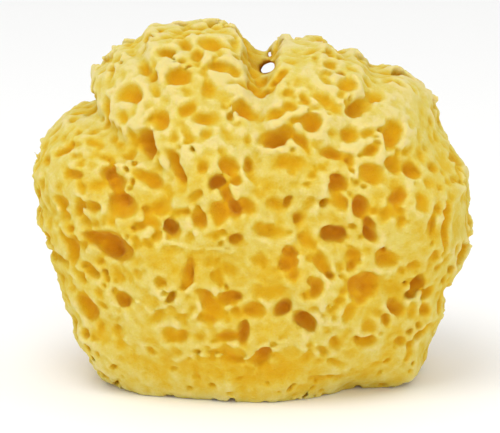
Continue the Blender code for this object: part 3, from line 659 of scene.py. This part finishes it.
# the body's field with the pores carved out of it
def growFlesh(grid, pores):
    places = grid["places"]
    away = places - belly.astype(np.float32)
    reach = np.maximum(np.sqrt((away**2).sum(axis=-1)), 1e-5)
    away /= reach[..., None]
    field = (reach - skinRadius(away[..., 0], away[..., 1], away[..., 2])).astype(np.float32)
    print("sponge: body field", field.shape)
    bent = bendPlaces(grid)
    field += flesh["swell"][0] * latticeNoise(grid, flesh["swell"][1])
    uncarved = field.copy()
    for height, spacing in flesh["slowRoughness"]:
        field += height * latticeNoise(grid, spacing)
    print("sponge: bends and roughness")
    draws = np.random.default_rng(flesh["seed"] + 1)
    for pore in pores:
        raiseLip(field, bent, grid, pore)
    for pore in pores:
        carvePore(field, bent, grid, pore, draws)
    print("sponge: carved", len(pores), "pores")
    lean = flesh["cleftLean"]
    cosine, sine = math.cos(lean), math.sin(lean)
    cleftAxes = np.array([[cosine, 0, sine], [0, 1, 0], [-sine, 0, cosine]])
    cleftPlace = np.array(flesh["cleftPlace"])
    carve(field, bent, grid, cleftPlace, cleftAxes, flesh["cleftHalfSize"], flesh["cleftSoftness"])
    carveSight(field, places, grid)
    for across, deep, halfLength, halfWidth in flesh["rootChannels"]:
        size = (halfLength, halfWidth, flesh["rootChannelDepth"])
        axes = poreAxes(upwards, toTheRight)
        carve(field, bent, grid, np.array([across, deep, 0.0]), axes, size, flesh["rootChannelSoftness"])
    for softening in range(flesh["softenings"]):
        field = softened(field)
    field += fibreRelief(grid)
    raiseRidges(field, bent, grid)
    for height, spacing in flesh["fineRoughness"]:
        field += height * latticeNoise(grid, spacing)
    directions = chance.normal(0, 1, (flesh["pinholes"], 3))
    spots = onSkin(directions)
    normals = skinNormals(spots)
    smallest, largest = flesh["pinholeHalfWidth"]
    sizes = smallest + (largest - smallest) * chance.beta(*flesh["pinholeSpread"], len(spots))
    sinks = chance.uniform(*flesh["pinholeSink"], len(spots))
    alongs = chance.normal(0, 1, spots.shape)
    for spot, normal, size, sink, along in zip(spots, normals, sizes, sinks, alongs):
        halfSize = tuple(size * share for share in flesh["pinholeShape"])
        axes = poreAxes(-normal, along)
        softness, openReach = flesh["pinholeSoftness"], flesh["pinholeOpenReach"]
        carve(field, bent, grid, spot - normal * sink, axes, halfSize, softness, openReach)
    carveNicks(field, places, grid)
    carveRim(field, bent, grid)
    print("sponge: carved", len(spots), "pinholes")
    return np.maximum(field, -places[..., 2]), uncarved


# skin of a field: one point in each cell that the surface crosses, at the mean of its edge crossings, and
# one quad round each crossed edge
def skinField(field, grid):
    inside = field < 0
    counts = np.array(field.shape)
    strides = np.array([counts[1] * counts[2], counts[2], 1])
    cellIds, spots, flips = [], [], []
    for axis in range(3):
        unit = np.eye(3, dtype=int)[axis]
        lowSlice = tuple(slice(0, -1) if side == axis else slice(None) for side in range(3))
        highSlice = tuple(slice(1, None) if side == axis else slice(None) for side in range(3))
        edges = np.argwhere(inside[lowSlice] != inside[highSlice])
        start = field[tuple(edges.T)]
        end = field[tuple((edges + unit).T)]
        spot = edges + (start / (start - end))[:, None] * unit
        first = strides[(axis + 1) % 3]
        second = strides[(axis + 2) % 3]
        cell = edges @ strides
        cellIds.append(np.stack([cell, cell - first, cell - first - second, cell - second], axis=1))
        spots.append(np.repeat(spot[:, None, :], 4, axis=1))
        flips.append(start < 0)
    cellIds = np.concatenate(cellIds)
    spots = np.concatenate(spots).reshape(-1, 3)
    flips = np.concatenate(flips)
    cells, corner = np.unique(cellIds.ravel(), return_inverse=True)
    tally = np.bincount(corner)
    points = np.stack([np.bincount(corner, spots[:, side]) for side in range(3)], axis=1) / tally[:, None]
    quads = corner.reshape(-1, 4)
    quads = np.where(flips[:, None], quads, quads[:, ::-1])
    return points * grid["step"] + grid["corner"], quads


# keeps the largest joined piece: labels flow along edges until they settle
def largestPiece(points, quads):
    label = np.arange(len(points))
    pairs = np.concatenate([quads[:, [0, 1]], quads[:, [1, 2]], quads[:, [2, 3]]])
    while True:
        lowest = np.minimum(label[pairs[:, 0]], label[pairs[:, 1]])
        new = label.copy()
        np.minimum.at(new, pairs[:, 0], lowest)
        np.minimum.at(new, pairs[:, 1], lowest)
        new = new[new]
        if np.array_equal(new, label):
            break
        label = new
    winner = np.bincount(label[quads[:, 0]]).argmax()
    quads = quads[label[quads[:, 0]] == winner]
    used, renumbered = np.unique(quads.ravel(), return_inverse=True)
    return points[used], renumbered.reshape(-1, 4)


def meshFrom(name, points, quads):
    mesh = bpy.data.meshes.new(name)
    mesh.vertices.add(len(points))
    mesh.vertices.foreach_set("co", points.astype(np.float32).ravel())
    mesh.loops.add(quads.size)
    mesh.loops.foreach_set("vertex_index", quads.astype(np.int32).ravel())
    mesh.polygons.add(len(quads))
    mesh.polygons.foreach_set("loop_start", np.arange(0, quads.size, 4, dtype=np.int32))
    mesh.update(calc_edges=True)
    return mesh


# thins a mesh to a number of triangles, and keeps the result
def thinned(obj, triangles):
    obj.data.calc_loop_triangles()
    thin = obj.modifiers.new("thin", "DECIMATE")
    thin.ratio = min(1.0, triangles / len(obj.data.loop_triangles))
    thin.use_collapse_triangulate = True
    graph = bpy.context.evaluated_depsgraph_get()
    mesh = bpy.data.meshes.new_from_object(obj.evaluated_get(graph))
    obj.modifiers.clear()
    obj.data = mesh
    return mesh


# share of solid in a cube round each sample, by running sums along each axis
def solidShare(solid, reach):
    share = solid.astype(np.float32)
    for axis in range(3):
        padded = np.concatenate([np.zeros_like(share.take([0], axis)), share.cumsum(axis=axis)], axis=axis)
        count = share.shape[axis]
        top = np.minimum(np.arange(count) + reach + 1, count)
        bottom = np.maximum(np.arange(count) - reach, 0)
        share = (padded.take(top, axis) - padded.take(bottom, axis)) / (2 * reach + 1)
    return share


def readSamples(values, grid, points):
    place = (points - grid["corner"]) / grid["step"]
    base = np.clip(np.floor(place).astype(int), 0, np.array(values.shape) - 2)
    part = place - base
    total = np.zeros(len(points))
    for corner in np.ndindex(2, 2, 2):
        weight = np.prod(np.where(corner, part, 1 - part), axis=1)
        total += weight * values[tuple((base + corner).T)]
    return total


# writes how deep each vertex lies under the uncarved skin, as a power of its share of the deepest, and how
# sheltered it is: the mean share of solid in two cubes round it. The material turns both into painted shade,
# darker and more orange in deep, enclosed pits.
def markPits(mesh, grid, field, uncarved, points):
    recess = (flesh["crest"] - readSamples(uncarved, grid, points)) / (flesh["crest"] + flesh["deepest"])
    recess = np.clip(recess, 0, 1) ** flesh["recessPower"]
    shares = [solidShare(field < 0, max(1, round(reach / grid["step"]))) for reach in flesh["shelterReach"]]
    shelter = sum(readSamples(share, grid, points) for share in shares) / len(shares)
    for name, values in (("recess", recess), ("shelter", shelter)):
        attribute = mesh.attributes.new(name, "FLOAT", "POINT")
        attribute.data.foreach_set("value", values.astype(np.float32))


def growSponge():
    grid = makeGrid()
    pores = makeFacePores() + makeSpiralPores()
    pores = pores + makeFillPores(pores)
    field, uncarved = growFlesh(grid, pores)
    points, quads = skinField(field, grid)
    points, quads = largestPiece(points, quads)
    print("sponge: skinned,", len(quads), "quads")
    sponge = bpy.data.objects.new("sponge_flesh", meshFrom("sponge_flesh", points, quads))
    bpy.context.scene.collection.objects.link(sponge)
    mesh = thinned(sponge, flesh["triangles"])
    places = np.empty(len(mesh.vertices) * 3, np.float32)
    mesh.vertices.foreach_get("co", places)
    places = places.reshape(-1, 3).astype(float)
    markPits(mesh, grid, field, uncarved, places)
    mesh.shade_smooth()
    print("sponge: kept", len(mesh.polygons), "triangles")
    return sponge, places


# from sRGB hex to linear, channel by channel
def linearColour(code):
    channels = [int(code[place:place + 2], 16) / 255 for place in (1, 3, 5)]
    return [c / 12.92 if c <= 0.04045 else ((c + 0.055) / 1.055) ** 2.4 for c in channels] + [1.0]


def addNode(tree, kind, settings=None, links=None):
    node = tree.nodes.new(kind)
    for key, value in (settings or {}).items():
        if isinstance(key, int) or key in node.inputs:
            node.inputs[key].default_value = value
        else:
            setattr(node, key, value)
    for key, source in (links or {}).items():
        tree.links.new(source, node.inputs[key])
    return node


# Spongin: the dried protein skeleton of the sponge, washed, and lightened with a little bleach. Light goes a
# little way in and comes back yellower. Ridges are coloured pale and creamy and pits golden to brown, partly
# by that light and partly by painted shade in the colour ramp, from each place's depth and shelter.
spongin = {
    # the ramp runs from pale cream on the ridges to a darker orange in the deepest pits: painted shade
    "ramp": (
        (0.00, "#dccb84"), (0.10, "#d7c466"), (0.20, "#d6bb49"), (0.29, "#d6b22d"), (0.39, "#d6aa17"),
        (0.52, "#d8a408"), (0.72, "#d79a05"), (1.00, "#d08704"),
    ),
    "fibre": 0.45,  # mm, width of a fibre bundle
    "fibreBump": (0.8, 0.00040),  # strength, and height in m
    "grain": 0.8,  # mm, size of the fine lumps
    "grainBump": (0.75, 0.0008),
    "speckling": 0.24,  # how much they vary the tone
    "mottle": 16.0,  # mm, size of the washed-out patches
    "mottling": 0.40,
    "shelterRange": (0.30, 0.78),  # share of solid round a ridge, and round the bottom of a pit
    "recessRange": (0.10, 1.00),
    "recessShare": 0.6,  # how much of the painted pit shade the depth gives, next to the shelter
    "paintedLightHeights": (0.070, 0.100),  # m, between these heights the colour goes over to a painted top light, paler towards the top
    "paintedLightShift": -0.10,  # what the painted top light adds to the tone; below zero is paler
    "roughness": 0.82,
    "subsurfaceRadius": (1.0, 0.75, 0.25),  # red light goes furthest
    "subsurfaceScale": 0.0024,
}


def makeSpongin():
    material = bpy.data.materials.new("spongin")
    material.use_nodes = True
    tree = material.node_tree
    tree.nodes.clear()
    place = addNode(tree, "ShaderNodeTexCoord").outputs["Object"]
    recess = addNode(tree, "ShaderNodeAttribute", {"attribute_name": "recess"}).outputs["Fac"]
    shelter = addNode(tree, "ShaderNodeAttribute", {"attribute_name": "shelter"}).outputs["Fac"]
    mottle = addNode(tree, "ShaderNodeTexNoise", {
        "Scale": 1000 / spongin["mottle"], "Detail": 3.0,
    }, {"Vector": place}).outputs["Fac"]
    grain = addNode(tree, "ShaderNodeTexNoise", {
        "Scale": 1000 / spongin["grain"], "Detail": 4.0, "Roughness": 0.65,
    }, {"Vector": place}).outputs["Fac"]
    # painted pit shade: 0 on a ridge, 1 in the deepest hole, where the ramp is darkest and most orange; a
    # random patch and speck vary it either way, and a painted top light makes it paler near the top
    closed = addNode(tree, "ShaderNodeMapRange", {
        "From Min": spongin["shelterRange"][0], "From Max": spongin["shelterRange"][1],
    }, {"Value": shelter}).outputs[0]
    deep = addNode(tree, "ShaderNodeMapRange", {
        "From Min": spongin["recessRange"][0], "From Max": spongin["recessRange"][1],
    }, {"Value": recess}).outputs[0]
    paintedPitShade = addNode(tree, "ShaderNodeMix", {
        "data_type": "FLOAT", "Factor": spongin["recessShare"],
    }, {"A": closed, "B": deep}).outputs[0]
    patch = addNode(tree, "ShaderNodeMath", {
        "operation": "MULTIPLY_ADD", 1: spongin["mottling"], 2: -spongin["mottling"] / 2,
    }, {0: mottle}).outputs[0]
    speck = addNode(tree, "ShaderNodeMath", {
        "operation": "MULTIPLY_ADD", 1: spongin["speckling"], 2: -spongin["speckling"] / 2,
    }, {0: grain}).outputs[0]
    # painted top light: the colour is made paler towards the top of the sponge, where light from above falls
    # most
    height = addNode(tree, "ShaderNodeSeparateXYZ", {}, {0: place}).outputs["Z"]
    paintedTopLight = addNode(tree, "ShaderNodeMapRange", {
        "interpolation_type": "SMOOTHSTEP", "From Min": spongin["paintedLightHeights"][0],
        "From Max": spongin["paintedLightHeights"][1], "To Max": spongin["paintedLightShift"],
    }, {"Value": height}).outputs[0]
    # adds the painted top light to the random mottle
    patch = addNode(tree, "ShaderNodeMath", {"operation": "ADD"}, {0: patch, 1: paintedTopLight}).outputs[0]
    tone = addNode(tree, "ShaderNodeMath", {"operation": "ADD"}, {0: paintedPitShade, 1: patch}).outputs[0]
    tone = addNode(tree, "ShaderNodeMath", {"operation": "ADD"}, {0: tone, 1: speck}).outputs[0]
    ramp = addNode(tree, "ShaderNodeValToRGB", {}, {"Fac": tone})
    stops = ramp.color_ramp.elements
    while len(stops) < len(spongin["ramp"]):
        stops.new(0.5)
    for stop, (at, code) in zip(stops, spongin["ramp"]):
        stop.position = at
        stop.color = linearColour(code)
    fibre = addNode(tree, "ShaderNodeTexNoise", {
        "Scale": 1000 / spongin["fibre"], "Detail": 3.0, "Distortion": 1.2,
    }, {"Vector": place}).outputs["Fac"]
    fine = addNode(tree, "ShaderNodeBump", {
        "Strength": spongin["fibreBump"][0], "Distance": spongin["fibreBump"][1],
    }, {"Height": fibre}).outputs[0]
    coarse = addNode(tree, "ShaderNodeBump", {
        "Strength": spongin["grainBump"][0], "Distance": spongin["grainBump"][1],
    }, {"Height": grain, "Normal": fine}).outputs[0]
    shader = addNode(tree, "ShaderNodeBsdfPrincipled", {
        "Roughness": spongin["roughness"], "IOR": 1.45, "Specular IOR Level": 0.10,
        "Subsurface Weight": 0.85, "Subsurface Radius": spongin["subsurfaceRadius"],
        "Subsurface Scale": spongin["subsurfaceScale"],
        "Sheen Weight": 0.10, "Sheen Roughness": 0.6, "Sheen Tint": linearColour("#fff1c4"),
    }, {"Base Color": ramp.outputs["Color"], "Normal": coarse})
    output = addNode(tree, "ShaderNodeOutputMaterial")
    tree.links.new(shader.outputs[0], output.inputs["Surface"])
    return material


studio = {
    "floor": "#fbfbfa",
    "floorHalfSize": 6.0,
    "world": 0.86,
    "key": {"place": (-0.30, -0.50, 1.25), "size": 0.8, "power": 5.8},
    "fill": {"place": (0.10, -1.30, 0.40), "size": 0.9, "power": 6.0},
}


def makeFloor():
    half = studio["floorHalfSize"]
    mesh = bpy.data.meshes.new("floor")
    corners = [(-half, -half, 0), (half, -half, 0), (half, half, 0), (-half, half, 0)]
    mesh.from_pydata(corners, [], [(0, 1, 2, 3)])
    floor = bpy.data.objects.new("floor", mesh)
    bpy.context.scene.collection.objects.link(floor)
    material = bpy.data.materials.new("floor")
    material.use_nodes = True
    shader = material.node_tree.nodes["Principled BSDF"]
    shader.inputs["Base Color"].default_value = linearColour(studio["floor"])
    shader.inputs["Roughness"].default_value = 0.9
    mesh.materials.append(material)


def addLamp(name, settings, aim):
    light = bpy.data.lights.new(name, "AREA")
    light.shape = "DISK"
    light.size = settings["size"]
    light.energy = settings["power"]
    lamp = bpy.data.objects.new(name, light)
    lamp.location = settings["place"]
    lamp.rotation_euler = (Vector(aim) - lamp.location).to_track_quat("-Z", "Y").to_euler()
    bpy.context.scene.collection.objects.link(lamp)


def makeStudio(shift):
    scene = bpy.context.scene
    world = bpy.data.worlds.new("studio")
    world.use_nodes = True
    background = world.node_tree.nodes["Background"]
    background.inputs["Color"].default_value = (1, 1, 1, 1)
    background.inputs["Strength"].default_value = studio["world"]
    scene.world = world
    scene.view_settings.view_transform = "Standard"
    for name in ("key", "fill"):
        addLamp(name, studio[name], belly)
    lens = bpy.data.cameras.new("camera")
    lens.sensor_width = 36.0
    lens.lens = lens.sensor_width * view["distance"] / (view["framePixels"][0] * pixel)
    lens.clip_end = 20.0
    camera = bpy.data.objects.new("camera", lens)
    turn = Matrix(np.column_stack([toTheRight, tiltUp, -lookAlong]).tolist()).to_4x4()
    camera.matrix_world = Matrix.Translation(Vector(eye + shift)) @ turn
    scene.collection.objects.link(camera)
    scene.camera = camera


sponge, places = growSponge()
# the middle of the sponge's box goes over the middle of the solid's box
ownMiddle = (places.min(axis=0) + places.max(axis=0)) / 2
cadMiddle = (np.array(cadBox[0]) + np.array(cadBox[1])) / 2
shift = (cadMiddle - ownMiddle) * (1, 1, 0)
sponge.data.vertices.foreach_set("co", (places + shift).astype(np.float32).ravel())
sponge.data.update()
sponge.data.materials.append(makeSpongin())
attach(sponge, "root")
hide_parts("sponge")
makeFloor()
makeStudio(shift)
print("studio: camera, lamps and floor")
